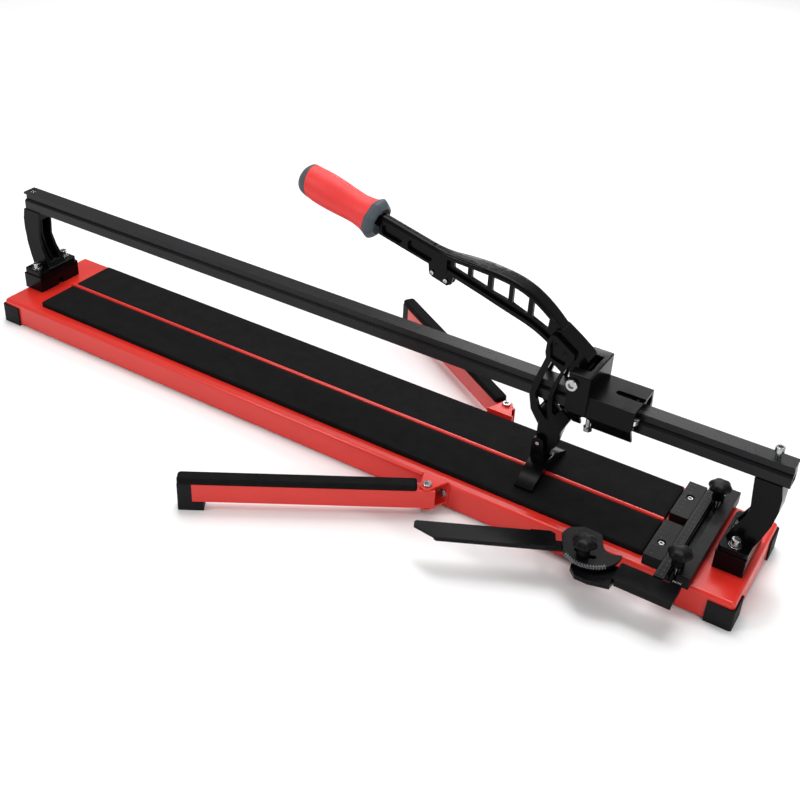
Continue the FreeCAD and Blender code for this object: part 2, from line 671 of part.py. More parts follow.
def fence_channel():
    section = [(FENCE_MID, BASE_TOP), (FENCE_RIGHT, BASE_TOP), (FENCE_RIGHT, CHANNEL_TOP), (618, CHANNEL_TOP),
               (618, 50), (606.5, 50), (606.5, 57.6), (FENCE_MID, 57.6)]
    body = prism_xz(section, -CHANNEL_HALF, CHANNEL_HALF)
    for x, y in CLAMP_KNOBS.values():
        body = body.cut(cylinder(3.05, x, y, BASE_TOP - 1, 51))
    return body


def fence_plates():
    plates = []
    for side in (-1, 1):
        y0, y1 = sorted((side * 9.0, side * FENCE_HALF))
        plate = box(FENCE_LEFT, FENCE_MID, y0, y1, BASE_TOP, FENCE_TOP)
        plate = round_edges(plate, 1.5, is_vertical)
        x, y = 576.0, side * 60.0
        plate = plate.cut(cylinder(6.0, x, y, FENCE_TOP - 5, FENCE_TOP + 1))
        plates.append(plate.cut(cylinder(2.5, x, y, BASE_TOP - 1, FENCE_TOP)))
    return Part.makeCompound(plates)


def fence_screws():
    screws = [socket_screw(x, y, FENCE_TOP - 5, 4.5, 3.6, 2.5, 36.0) for x, y in fence_screw_places()]
    return Part.makeCompound(screws)


def knob(x, y, base, stud_bottom):
    """Star knob with a moulded-in threaded stud."""
    top = base + 30
    stem = Part.makeCone(7.5, 9.5, 18.0, V(x, y, base), V(0, 0, 1))
    head = cylinder(KNOB_RADIUS, x, y, top - 16, top)
    head = round_edges(head, 4.0, lambda e: edge_in_plane(e, top))
    reach = KNOB_RADIUS + 4.5
    for i in range(6):
        angle = math.radians(60 * i)
        flute = cylinder(6.5, x + reach * math.cos(angle), y + reach * math.sin(angle), base + 10, top + 1)
        head = head.cut(flute)
    return join([stem, head, cylinder(3.0, x, y, stud_bottom, base + 1)])


def ruler_bar():
    bar = box(FENCE_MID + 0.4, 604.5, -130.0, 92.0, 58.0, FENCE_TOP)
    return bar


def slide_head():
    plate = box(545, 631, -167, -130, 56.0, 62.0)
    plate = round_edges(plate, 3.0, is_vertical)
    lip = box(549, 630, -167, -163, 50.0, 57.0)
    neck_piece = box(592, 603, -132, -121, 51.0, 57.8)
    lug = box(614, 630, -132, -121, 56.0, 62.0)
    return join([plate, lip, neck_piece, lug])


def angle_base_plate():
    outline = [(575, -134), (575, -162), (548, -162), (547, -176), (518, -184), (499, -184), (487, -172),
               (483, -140), (486, -112), (508, -112), (522, -134)]
    plate = prism_xy(outline, 49.0, 55.8)
    plate = plate.cut(cylinder(3.05, GUIDE_KNOB[0], GUIDE_KNOB[1], 48, 57))
    return plate.cut(cylinder(3.0, GUIDE_PIVOT[0], GUIDE_PIVOT[1], 48, 57))


def angle_pivot_rivet():
    x, y = GUIDE_PIVOT
    return join([cylinder(3.0, x, y, 49.0, 65.5), cylinder(6.0, x, y, 65.3, 67.5)])


def from_blade_frame(shape):
    """Place a shape drawn with the pivot at the origin and the blade along +X."""
    shape.rotate(V(0, 0, 0), V(0, 0, 1), BLADE_ANGLE)
    shape.translate(V(GUIDE_PIVOT[0], GUIDE_PIVOT[1], 0))
    return shape


def swing_blade():
    """Thin stop blade with a raised block where it leaves the protractor disc."""
    tongue = prism_xy([(-9, -9), (64, -9), (64, 9), (-9, 9)], 56.3, 60.5)
    block = prism_xy([(49, -20), (56, -25), (84, -25), (84, 8), (49, 8)], 56.3, 64.0)
    tip = [(BLADE_LENGTH - 3, -25), (BLADE_LENGTH, -22), (BLADE_LENGTH, -14), (216, 8)]
    bar = prism_xy([(60, -22), (66, -25)] + tip + [(60, 8)], 58.0, 62.5)
    lip = prism_xy([(60, 5), (220, 5), (216, 8), (60, 8)], 55.5, 59.0)
    body = join([tongue, block, bar, lip])
    body = body.cut(cylinder(3.06, 0, 0, 50, 70))
    return from_blade_frame(body)


def slot_arc(radius, half_width, first, last, z0, z1):
    """Curved slot about the origin, between two angles in degrees."""
    band = ring(radius + half_width, radius - half_width, 0, 0, z0, z1)
    a, b = math.radians(first), math.radians(last)
    reach = radius * 4
    middle = (a + b) / 2
    corners = [(reach * math.cos(t), reach * math.sin(t)) for t in (a, middle, b)]
    wedge = prism_xy([(0, 0)] + corners, z0, z1)
    ends = [cylinder(half_width, radius * math.cos(t), radius * math.sin(t), z0, z1) for t in (a, b)]
    return join([band.common(wedge)] + ends)


# Cut of the round disc, about the pivot: a flank at the back and a hollow edge before the pointed end
DISC_OUTLINE = [(-50, -50), (50, -50), (50, 5), (42, 4.5), (36, 1), (29, -0.5), (22, 1), (16, 6), (4, 29), (-2, 31),
                (-24, 31), (-50, 12)]


def protractor_disc():
    disc = cylinder(45.0, 0, 0, 60.5, 65.0)
    outline = prism_xy(DISC_OUTLINE, 60, 66)
    outline.rotate(V(0, 0, 0), V(0, 0, 1), -BLADE_ANGLE)
    disc = disc.common(outline)
    disc = disc.cut(slot_arc(24.1, 3.6, 28, 94, 60, 66))
    disc = disc.cut(box(40, 60, -30, 20, 60, 66))
    disc = disc.cut(cylinder(3.06, 0, 0, 50, 70))
    return from_blade_frame(disc)


# Side arms, drawn along +X from the hinge and then placed on the front side

def place_front_arm(shape):
    shape.rotate(V(0, 0, 0), V(0, 0, 1), 180 + ARM_ANGLE)
    shape.translate(V(ARM_HINGE_X, -ARM_HINGE_Y, 0))
    return shape


def arm_tube():
    outer = box(-12, 350, -ARM_HALF, ARM_HALF, TUBE_BOTTOM, TUBE_TOP)
    outer = round_edges(outer, 1.5, lambda e: e.Length > 300)
    inner_half = ARM_HALF - TUBE_WALL
    tube = outer.cut(box(-13, 351, -inner_half, inner_half, TUBE_BOTTOM + TUBE_WALL, TUBE_TOP - TUBE_WALL))
    tube = tube.cut(cylinder(HINGE_BOLT_RADIUS + 0.05, 0, 0, 0, 60))
    return place_front_arm(tube)


def arm_foot():
    inner_half = ARM_HALF - TUBE_WALL
    cap = box(350, ARM_LENGTH, -ARM_HALF, ARM_HALF, 0, TUBE_TOP)
    cap = round_edges(cap, 2.0, lambda e: is_vertical(e) and e.Vertexes[0].X > ARM_LENGTH - 1)
    lip = box(333, 351, -ARM_HALF, ARM_HALF, 0, TUBE_BOTTOM)
    plug = box(330, 351, -inner_half, inner_half, TUBE_BOTTOM + TUBE_WALL, TUBE_TOP - TUBE_WALL)
    return place_front_arm(join([cap, lip, plug]))


def arm_pad():
    pad = box(15, ARM_LENGTH, -ARM_HALF, ARM_HALF, TUBE_TOP, ARM_PAD_TOP)
    pad = round_edges(pad, 3.0, is_vertical)
    return place_front_arm(pad)


def hinge_bracket():
    side = -BASE_WIDTH / 2
    back = box(212, 258, side - 3, side, 13.0, TUBE_TOP + 3.4)
    pieces = [back]
    for z0 in (TUBE_BOTTOM - 3.4, TUBE_TOP + 0.4):
        ear = join([cylinder(11.0, ARM_HINGE_X, -ARM_HINGE_Y, z0, z0 + 3),
                    prism_xy([(ARM_HINGE_X - 11, -ARM_HINGE_Y), (ARM_HINGE_X + 11, -ARM_HINGE_Y), (256, side - 1),
                              (214, side - 1)], z0, z0 + 3)])
        pieces.append(ear)
    body = join(pieces)
    body = body.cut(cylinder(HINGE_BOLT_RADIUS, ARM_HINGE_X, -ARM_HINGE_Y, 0, 60))
    for x in hinge_bolt_places():
        body = body.cut(cylinder_y(3.0, x, 29.0, side - 5, side + 1))
    return body


def hinge_bracket_bolts():
    side = -BASE_WIDTH / 2 - 3
    bolts = []
    for x in hinge_bolt_places():
        bolt = join([cylinder_y(7.5, x, 29.0, side - 1.5, side), cylinder_y(5.5, x, 29.0, side - 4.5, side - 1),
                     cylinder_y(3.0, x, 29.0, side, side + 14)])
        bolts.append(bolt)
        bolts.append(mirror_y(bolt))
    return Part.makeCompound(bolts)


def arm_hinge_bolts():
    bolt = socket_screw(ARM_HINGE_X, -ARM_HINGE_Y, TUBE_TOP + 3.4, 7.0, 3.8, HINGE_BOLT_RADIUS, 3.0)
    return Part.makeCompound([bolt, mirror_y(bolt)])


def arm_hinge_nuts():
    nut = hex_nut(13.0, ARM_HINGE_X, -ARM_HINGE_Y, 6.0, 12.5, HINGE_BOLT_RADIUS)
    return Part.makeCompound([nut, mirror_y(nut)])


def build():
    tray = base_tray()
    lever = lever_casting()
    block = spacer_block()
    tube, foot, pad, hinge = arm_tube(), arm_foot(), arm_pad(), hinge_bracket()
    nodes = {
        "base_tray": tray,
        "corner_feet": corner_feet(tray),
        "breaker_ridge": breaker_ridge(),
        "front_pad": front_pad(),
        "rear_pad": rear_pad(),
        "left_spacer_block": at_left_end(block),
        "right_spacer_block": at_right_end(block),
        "left_bracket": at_left_end(bracket(LEFT_BLOCK_X - LEFT_SCREW_X)),
        "right_bracket": at_right_end(bracket(STOP_BOLT_X - RIGHT_BLOCK_X)),
        "bracket_bolts": bracket_bolts(),
        "bracket_washers": bracket_washers(),
        "bracket_nuts": bracket_nuts(),
        "rail": rail(),
        "rail_end_screw": rail_end_screw(),
        "rail_stop_bolt": rail_stop_bolt(),
        "carriage_housing": carriage_housing(),
        "bearing_axle_bolts": bearing_axle_bolts(),
        "bearing_spacers": bearing_spacers(),
        "bearing_lock_nuts": bearing_lock_nuts(),
        "pivot_bolt": pivot_bolt(),
        "pivot_nut": pivot_nut(),
        "pivot_bushes": pivot_bushes(),
        "lever_casting": lever,
        "handle_grip": handle_grip(),
        "grip_ends": grip_ends(lever),
        "wheel_clip": wheel_clip(lever),
        "clip_screws": clip_screws(),
        "yoke": yoke(lever),
        "yoke_screws": yoke_screws(),
        "yoke_pins": yoke_pins(),
        "cutting_wheel": cutting_wheel(),
        "breaker_foot": breaker_foot(),
        "fence_channel": fence_channel(),
        "fence_plates": fence_plates(),
        "fence_screws": fence_screws(),
        "ruler_bar": ruler_bar(),
        "slide_head": slide_head(),
        "angle_base_plate": angle_base_plate(),
        "angle_pivot_rivet": angle_pivot_rivet(),
        "swing_blade": swing_blade(),
        "protractor_disc": protractor_disc(),
        "angle_knob": knob(GUIDE_KNOB[0], GUIDE_KNOB[1], 65.4, 50.0),
        "front_arm_tube": tube,
        "front_arm_foot": foot,
        "front_arm_pad": pad,
        "rear_arm_tube": mirror_y(tube),
        "rear_arm_foot": mirror_y(foot),
        "rear_arm_pad": mirror_y(pad),
        "front_hinge_bracket": hinge,
        "rear_hinge_bracket": mirror_y(hinge),
        "hinge_bracket_bolts": hinge_bracket_bolts(),
        "arm_hinge_bolts": arm_hinge_bolts(),
        "arm_hinge_nuts": arm_hinge_nuts(),
    }
    for name, (x, y) in CLAMP_KNOBS.items():
        nodes[name] = knob(x, y, CHANNEL_TOP + 0.3, 47.0)
    sides = {-1: "front", 1: "rear"}
    for x, y in bearing_places():
        end = "left" if x == BEARING_XS[0] else "right"
        nodes[sides[int(math.copysign(1, y))] + "_" + end + "_bearing"] = bearing(x, y)
    return nodes


os.makedirs("parts", exist_ok=True)
for node_name, node_shape in build().items():
    bad = [solid for solid in node_shape.Solids if not solid.isValid()]
    volume = round(node_shape.Volume / 1000.0, 2)
    print(node_name, len(node_shape.Solids), "solids", volume, "cm3", "BAD" if bad else "")
    node_shape.exportStep("parts/" + node_name + ".step")
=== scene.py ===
import json
import math

import bpy
from mathutils import Matrix, Vector, noise


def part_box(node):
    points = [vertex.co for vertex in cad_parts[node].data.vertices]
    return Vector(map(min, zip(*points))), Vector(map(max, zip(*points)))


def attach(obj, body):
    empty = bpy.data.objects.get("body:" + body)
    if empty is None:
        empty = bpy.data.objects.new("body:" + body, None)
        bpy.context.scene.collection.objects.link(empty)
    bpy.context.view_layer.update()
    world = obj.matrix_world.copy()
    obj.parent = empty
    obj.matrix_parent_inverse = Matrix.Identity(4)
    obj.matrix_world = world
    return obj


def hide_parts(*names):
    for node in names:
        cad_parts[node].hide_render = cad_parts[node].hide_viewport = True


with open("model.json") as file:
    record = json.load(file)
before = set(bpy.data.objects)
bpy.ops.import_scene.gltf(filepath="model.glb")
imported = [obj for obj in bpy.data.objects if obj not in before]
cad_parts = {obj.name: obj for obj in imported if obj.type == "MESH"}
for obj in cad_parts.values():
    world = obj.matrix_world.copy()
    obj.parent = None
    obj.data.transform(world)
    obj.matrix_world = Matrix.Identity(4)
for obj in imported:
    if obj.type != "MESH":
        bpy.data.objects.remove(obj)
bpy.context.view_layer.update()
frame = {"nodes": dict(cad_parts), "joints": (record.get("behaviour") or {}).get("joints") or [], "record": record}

# Looks of the tile cutter: edges, materials, soft parts, scales, threads, light and camera.
# Metres, in the frame's own axes. Sizes written in millimetres are multiplied by MM.

MM = 0.001
NODES = frame["nodes"]
JOINTS = {joint["name"]: joint for joint in frame["joints"]}

# Grip: its tilt in degrees, then distances along its axis in millimetres and the seam's lean in metres
GRIP_TILT = 14.2
COLLAR_START = 2.0
CAP_SEAM = 131.0
SEAM_LEAN = 6.5 * MM

# Star knobs: a six-lobed moulding on an M6 stud
KNOB_HEIGHT = 30 * MM
KNOB_LOBES = 6
LOBE_DEPTH = 0.055
LOBED_HEIGHT = 15.5 * MM
STUD_RADIUS = 3.0 * MM
STUD_PITCH = 1.0 * MM

# Scales: spacing of the marks, and the disc's rim, first mark and step in degrees
RULER_STEP = 2 * MM
FENCE_STEP = 5
FENCE_SCREW_Y = 60 * MM
DISC_RADIUS = 45.0 * MM
DISC_MARKS = 31
DISC_START = 238
DISC_STEP = 2.7

# Setting: half the floor's side, and the camera that matches the photo's view
FLOOR_HALF = 12.0
LENS = 51.3
LENS_SHIFT = -0.075
CAMERA_PLACE = (0.8633, -1.3137, 1.1261)
CAMERA_FORWARD = (-0.4290, 0.7366, -0.5229)
CAMERA_RIGHT = (0.8485, 0.5271, 0.0464)

# Rounding put on each CAD node's sharp edges, in millimetres
EDGE_DEFAULT = 0.4
EDGES = {
    "left_bracket": 1.0, "right_bracket": 1.0, "lever_casting": 0.5, "yoke": 0.5, "breaker_foot": 0.7,
    "carriage_housing": 0.9, "left_spacer_block": 0.8, "right_spacer_block": 0.8, "base_tray": 0.3,
    "corner_feet": 1.2, "fence_plates": 0.3, "fence_channel": 0.7, "slide_head": 0.7, "swing_blade": 0.3,
    "angle_base_plate": 0.9, "protractor_disc": 0.5, "rail": 0.5, "wheel_clip": 0.7, "front_arm_foot": 1.2,
    "rear_arm_foot": 1.2, "cutting_wheel": 0.02,
}


# Node materials

def node_tree(name):
    material = bpy.data.materials.new(name)
    material.use_nodes = True
    tree = material.node_tree
    shader = tree.nodes["Principled BSDF"]
    place = tree.nodes.new("ShaderNodeTexCoord").outputs["Object"]
    return material, tree, shader, place


def stretched(tree, place, scale):
    mapping = tree.nodes.new("ShaderNodeMapping")
    mapping.inputs["Scale"].default_value = scale
    tree.links.new(place, mapping.inputs["Vector"])
    return mapping.outputs["Vector"]


def noise_field(tree, place, scale, detail=4.0, roughness=0.55):
    field = tree.nodes.new("ShaderNodeTexNoise")
    field.inputs["Scale"].default_value = scale
    field.inputs["Detail"].default_value = detail
    field.inputs["Roughness"].default_value = roughness
    tree.links.new(place, field.inputs["Vector"])
    return field.outputs["Fac"]


def cell_field(tree, place, scale):
    field = tree.nodes.new("ShaderNodeTexVoronoi")
    field.inputs["Scale"].default_value = scale
    tree.links.new(place, field.inputs["Vector"])
    return field.outputs["Distance"]


def remap(tree, value, low, high, start=0.3, end=0.7):
    ramp = tree.nodes.new("ShaderNodeMapRange")
    ramp.inputs["From Min"].default_value = start
    ramp.inputs["From Max"].default_value = end
    ramp.inputs["To Min"].default_value = low
    ramp.inputs["To Max"].default_value = high
    tree.links.new(value, ramp.inputs["Value"])
    return ramp.outputs["Result"]


def mix_colours(tree, factor, first, second):
    mix = tree.nodes.new("ShaderNodeMix")
    mix.data_type = "RGBA"
    tree.links.new(factor, mix.inputs["Factor"])
    for socket, colour in (("A", first), ("B", second)):
        target = [s for s in mix.inputs if s.name == socket and s.type == "RGBA"][0]
        if isinstance(colour, bpy.types.NodeSocket):
            tree.links.new(colour, target)
        else:
            target.default_value = (*colour, 1.0)
    return [s for s in mix.outputs if s.type == "RGBA"][0]


def bumped(tree, height, distance, strength, under=None):
    bump = tree.nodes.new("ShaderNodeBump")
    bump.inputs["Distance"].default_value = distance
    bump.inputs["Strength"].default_value = strength
    tree.links.new(height, bump.inputs["Height"])
    if under is not None:
        tree.links.new(under, bump.inputs["Normal"])
    return bump.outputs["Normal"]


def surface(name, dark, light, rough, patch=12.0, grain=900.0, bump=(0.00008, 0.25), metallic=0.0,
            coat=0.0, streaks=None, cells=None, shine=0.5):
    """Slot name and its layered material: colour patches, uneven gloss, and a fine grain or cells."""
    material, tree, shader, place = node_tree(name)
    patches = noise_field(tree, place, patch, 5.0, 0.6)
    fine = noise_field(tree, stretched(tree, place, streaks) if streaks else place, grain, 3.0)
    if cells:
        fine = cell_field(tree, place, cells)
    colour = mix_colours(tree, remap(tree, patches, 0.0, 1.0), dark, light)
    smudges = noise_field(tree, place, patch * 3.0, 6.0, 0.65)
    tree.links.new(colour, shader.inputs["Base Color"])
    tree.links.new(remap(tree, smudges, rough[0], rough[1]), shader.inputs["Roughness"])
    tree.links.new(bumped(tree, fine, bump[0], bump[1]), shader.inputs["Normal"])
    shader.inputs["Metallic"].default_value = metallic
    shader.inputs["Specular IOR Level"].default_value = shine
    shader.inputs["Coat Weight"].default_value = coat
    shader.inputs["Coat Roughness"].default_value = 0.08
    return name, material


def make_materials():
    layers = [
        surface("red_powder_coat", (0.62, 0.020, 0.012), (0.67, 0.023, 0.014), (0.28, 0.31),
                grain=900.0, bump=(0.00004, 0.12), coat=0.15, shine=0.4),
        surface("black_enamel", (0.0015, 0.0016, 0.0021), (0.0024, 0.0025, 0.0031), (0.19, 0.24),
                patch=18.0, grain=1200.0, bump=(0.00002, 0.06), shine=0.10),
        surface("black_rail", (0.0024, 0.0027, 0.0036), (0.0042, 0.0046, 0.0060), (0.26, 0.32),
                grain=600.0, bump=(0.00001, 0.05), streaks=(0.01, 1.0, 1.0), shine=0.22),
        surface("zinc_steel", (0.34, 0.35, 0.36), (0.50, 0.50, 0.50), (0.18, 0.26),
                patch=120.0, grain=1500.0, bump=(0.00003, 0.20), metallic=1.0),
        surface("bearing_steel", (0.60, 0.60, 0.60), (0.74, 0.74, 0.74), (0.10, 0.18),
                patch=150.0, grain=2500.0, bump=(0.00002, 0.15), metallic=1.0),
        surface("hard_metal", (0.28, 0.28, 0.29), (0.42, 0.42, 0.43), (0.28, 0.38),
                patch=300.0, grain=3000.0, bump=(0.00002, 0.20), metallic=1.0),
        surface("foam_pad", (0.0060, 0.0060, 0.0066), (0.0088, 0.0088, 0.0095), (0.80, 0.92),
                patch=40.0, bump=(0.00014, 0.35), cells=1300.0, shine=0.06),
        surface("foot_rubber", (0.0045, 0.0048, 0.0055), (0.0066, 0.0070, 0.0080), (0.60, 0.72),
                patch=40.0, grain=1400.0, bump=(0.00006, 0.20), shine=0.16),
        surface("guide_plastic", (0.0028, 0.0030, 0.0034), (0.0042, 0.0044, 0.0049), (0.36, 0.44),
                patch=40.0, bump=(0.00005, 0.20), cells=2200.0, shine=0.11),
        surface("knob_plastic", (0.0020, 0.0020, 0.0023), (0.0030, 0.0030, 0.0034), (0.34, 0.44),
                patch=60.0, bump=(0.00004, 0.15), cells=2400.0, shine=0.13),
        surface("grip_red", (0.70, 0.032, 0.030), (0.76, 0.040, 0.038), (0.44, 0.54),
                patch=30.0, grain=1800.0, bump=(0.00004, 0.15), shine=0.35),
        surface("grip_slate", (0.050, 0.066, 0.080), (0.060, 0.079, 0.094), (0.46, 0.56),
                patch=40.0, grain=1800.0, bump=(0.00004, 0.15), shine=0.35),
        surface("scale_print", (0.30, 0.31, 0.32), (0.48, 0.49, 0.50), (0.50, 0.65),
                patch=200.0, grain=3000.0, bump=(0.00002, 0.20)),
        surface("scale_emboss", (0.040, 0.043, 0.046), (0.062, 0.066, 0.070), (0.40, 0.55),
                patch=200.0, grain=3000.0, bump=(0.00002, 0.20), shine=0.3),
    ]
    return dict(layers)


MATERIALS = make_materials()


def paint(piece, material):
    piece.data.materials.clear()
    piece.data.materials.append(MATERIALS[material])


# Pieces

def piece_from(name, vertices, faces, material, body, smooth=True):
    mesh = bpy.data.meshes.new(name)
    mesh.from_pydata(vertices, [], faces)
    mesh.validate()
    mesh.polygons.foreach_set("use_smooth", [smooth] * len(mesh.polygons))
    mesh.update()
    piece = bpy.data.objects.new(name, mesh)
    bpy.context.scene.collection.objects.link(piece)
    paint(piece, material)
    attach(piece, body)
    return piece


def ring_faces(rings, count):
    """Faces that join equal rings of vertices in order, with one flat cap at each end."""
    faces = []
    for i in range(rings - 1):
        for k in range(count):
            after = (k + 1) % count
            faces.append((i * count + k, i * count + after, (i + 1) * count + after, (i + 1) * count + k))
    faces.append(tuple(reversed(range(count))))
    faces.append(tuple((rings - 1) * count + k for k in range(count)))
    return faces


def placed(vertices, origin, x_axis, z_axis=Vector((0, 0, 1))):
    """Vertices drawn along +X and +Z, put at an origin with those axes turned."""
    x = Vector(x_axis).normalized()
    z = Vector(z_axis).normalized()
    y = z.cross(x)
    turn = Matrix((x, y, z)).transposed()
    return [Vector(origin) + turn @ Vector(v) for v in vertices]


def rounded_outline(half_length, half_width, radius, spacing):
    """Points round a rectangle with rounded corners, evenly spaced on its long sides."""
    points = []
    straight = max(2, int(2 * (half_length - radius) / spacing))
    across = max(2, int(2 * (half_width - radius) / spacing))
    sides = [(1, 1, 0), (-1, 1, 90), (-1, -1, 180), (1, -1, 270)]
    corners = []
    for sx, sy, start in sides:
        centre = Vector((sx * (half_length - radius), sy * (half_width - radius)))
        turns = [math.radians(start + a) for a in (0, 22.5, 45, 67.5, 90)]
        corners.append([centre + radius * Vector((math.cos(a), math.sin(a))) for a in turns])
    for i, corner in enumerate(corners):
        points += corner
        following = corners[(i + 1) % 4][0]
        steps = straight if i % 2 == 0 else across
        points += [corner[-1].lerp(following, k / steps) for k in range(1, steps)]
    return points


def foam_sheet(name, node, body, length, width, bottom, top, origin, x_axis, corner, edge, crown):
    """Closed-cell foam strip: soft edge all round and a slightly uneven, crowned top."""
    spacing = 6 * MM
    profile = [(0.0, 0.0), (0.0, 0.35), (0.0, 0.75), (0.25, 0.92), (0.7, 0.985), (1.4, 1.0)]
    rings = [(edge * inset, bottom + (top - bottom) * height) for inset, height in profile]
    inner = [(width * share / 2, top) for share in (0.2, 0.4, 0.6, 0.8, 0.97)]
    vertices = []
    count = None
    for inset, z in rings + inner:
        outline = rounded_outline(length / 2, width / 2, corner, spacing)
        count = len(outline)
        for p in outline:
            x = p.x * (1 - inset / (length / 2))
            y = p.y * (1 - inset / (width / 2))
            lift = 0.0
            if z > bottom + 0.5 * (top - bottom):
                ripple = noise.noise(Vector((x * 40, y * 60, 0.3 + length)))
                lift = -crown * (2 * y / width) ** 4 + 0.12 * MM * ripple
            vertices.append((x, y, z + lift))
    faces = ring_faces(len(rings + inner), count)
    piece = piece_from(name, placed(vertices, origin, x_axis), faces, "foam_pad", body)
    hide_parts(node)
    return piece


def base_pads():
    for side in ("front", "rear"):
        low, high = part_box(side + "_pad")
        centre = (low + high) / 2
        foam_sheet(side + "_foam_sheet", side + "_pad", "base", high.x - low.x, high.y - low.y, low.z, high.z,
                   (centre.x, centre.y, 0), (1, 0, 0), 2 * MM, 0.9 * MM, 0.15 * MM)


def along(node, origin, direction):
    """Lowest and highest reach of a node's vertices from an origin, along a direction and to its left."""
    left = Vector((-direction.y, direction.x, 0))
    reach = [(v.co - origin).dot(direction) for v in NODES[node].data.vertices]
    side = [(v.co - origin).dot(left) for v in NODES[node].data.vertices]
    return min(reach), max(reach), min(side), max(side)


def arm_pads():
    for side in ("front", "rear"):
        node = side + "_arm_pad"
        hinge = Vector(JOINTS[side + "_arm_hinge"]["pos_m"])
        hinge.z = 0
        low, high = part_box(node)
        direction = tube_direction(side, hinge)
        start, end, right, left = along(node, hinge, direction)
        centre = hinge + direction * (start + end) / 2
        foam_sheet(side + "_arm_foam", node, side + "_arm", end - start, left - right, low.z, high.z, centre,
                   direction, 5 * MM, 2.2 * MM, 0.6 * MM)


def tube_direction(side, hinge):
    """Unit vector along an arm, from its hinge to the middle of its pad."""
    vertices = [v.co for v in NODES[side + "_arm_pad"].data.vertices]
    middle = sum(vertices, Vector()) / len(vertices)
    direction = Vector((middle.x, middle.y, 0)) - hinge
    return direction.normalized()


# Handle

def smooth_profile(points, samples):
    """Catmull-Rom curve through (distance, radius) points."""
    result = []
    for i in range(len(points) - 1):
        before = points[max(i - 1, 0)]
        after = points[min(i + 2, len(points) - 1)]
        for k in range(samples):
            t = k / samples
            result.append(tuple(0.5 * (2 * b + (c - a) * t + (2 * a - 5 * b + 4 * c - d) * t * t
                                       + (3 * b - a - 3 * c + d) * t ** 3)
                                for a, b, c, d in zip(before, points[i], points[i + 1], after)))
    return result + [points[-1]]


def turned_piece(name, profile, origin, axis, material, body, shape=None, count=96, lean=None):
    """Solid of revolution; shape scales its radius and lean shifts its distance along the axis."""
    vertices = []
    for distance, radius in profile:
        for k in range(count):
            angle = 2 * math.pi * k / count
            factor = shape(angle, distance) if shape else 1.0
            shift = lean(angle, distance) if lean else 0.0
            across = radius * factor
            vertices.append((across * math.cos(angle), across * math.sin(angle), distance + shift))
    side = Vector((0, 1, 0)) if abs(Vector(axis).y) < 0.9 else Vector((1, 0, 0))
    x_axis = side.cross(Vector(axis)).normalized()
    spots = placed(vertices, origin, x_axis, axis)
    return piece_from(name, spots, ring_faces(len(profile), count), material, body)


def handle_start():
    """Point on the handle axis at the collar's front, and the direction to the free end."""
    tilt = math.radians(GRIP_TILT)
    direction = Vector((-math.cos(tilt), 0, math.sin(tilt)))
    vertices = [v.co for v in NODES["grip_ends"].data.vertices]
    normal = Vector((math.sin(tilt), 0, math.cos(tilt)))
    offsets = [v.dot(normal) for v in vertices]
    reach = [v.dot(direction) for v in vertices]
    height = (min(offsets) + max(offsets)) / 2
    return normal * height + direction * (min(reach) - COLLAR_START * MM), direction


def grip_shape(angle, distance):
    """Flattened flanks that give the palm a soft ridge above and below."""
    blend = math.sin(math.pi * min(max((distance - 20 * MM) / (120 * MM), 0), 1))
    return 1 - 0.035 * blend * (0.5 - 0.5 * math.cos(4 * angle))


def collar_shape(angle, distance):
    """Octagonal flange with softened corners."""
    step = math.pi / 4
    local = (angle + step / 2) % step - step / 2
    flat = math.cos(step / 2) / math.cos(local)
    return 1 + math.exp(-((distance - 10 * MM) / (10 * MM)) ** 2) * (flat - 1)


def cap_lean(angle, distance):
    """Tilts the seam between sleeve and cap, higher at the top of the grip."""
    return SEAM_LEAN * math.cos(angle) * math.exp(-((distance / MM - CAP_SEAM) / 9) ** 2)


def millimetres(points):
    return [(distance * MM, radius * MM) for distance, radius in points]


def handle():
    origin, direction = handle_start()
    red = smooth_profile([(18.6, 28.0), (22, 27.2), (29, 25.6), (42, 24.3), (58, 24.9), (76, 26.3),
                          (97, 27.2), (112, 26.9), (124, 25.9), (130, 25.2), (131.4, 23.4)], 6)
    sleeve = turned_piece("grip_sleeve", millimetres(red), origin, direction, "grip_red", "lever", grip_shape,
                          lean=cap_lean)
    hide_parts("handle_grip")
    ring = [(12, 12), (11.5, 18.6), (4, 21.4), (2.7, 22.2), (2.1, 23.4), (2.4, 25.0), (4.6, 27.6), (8, 30.6),
            (10.6, 32.0), (12.6, 32.5), (14.4, 32.2), (17, 30.4), (19.4, 28.7), (20.2, 27.9), (20.2, 26)]
    collar = turned_piece("grip_collar", millimetres(ring), origin, direction, "grip_slate", "lever",
                          collar_shape)
    dome = smooth_profile([(129.8, 22.8), (130.6, 24.9), (132, 25.1), (137, 24.0), (142, 21.7), (146.5, 17.4),
                           (149.6, 11.0), (150.8, 5.6), (150.9, 0.6)], 5)
    turned_piece("grip_cap", millimetres(dome), origin, direction, "grip_slate", "lever", lean=cap_lean)
    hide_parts("grip_ends")


# Knobs, threads and scales

def lobed(count, depth, top, height):
    """Radius factor for scalloped knob heads."""
    def factor(angle, distance):
        inside = min(max((distance - (top - height)) / (3 * MM), 0), 1)
        return 1 + inside * depth * math.cos(count * angle)
    return factor


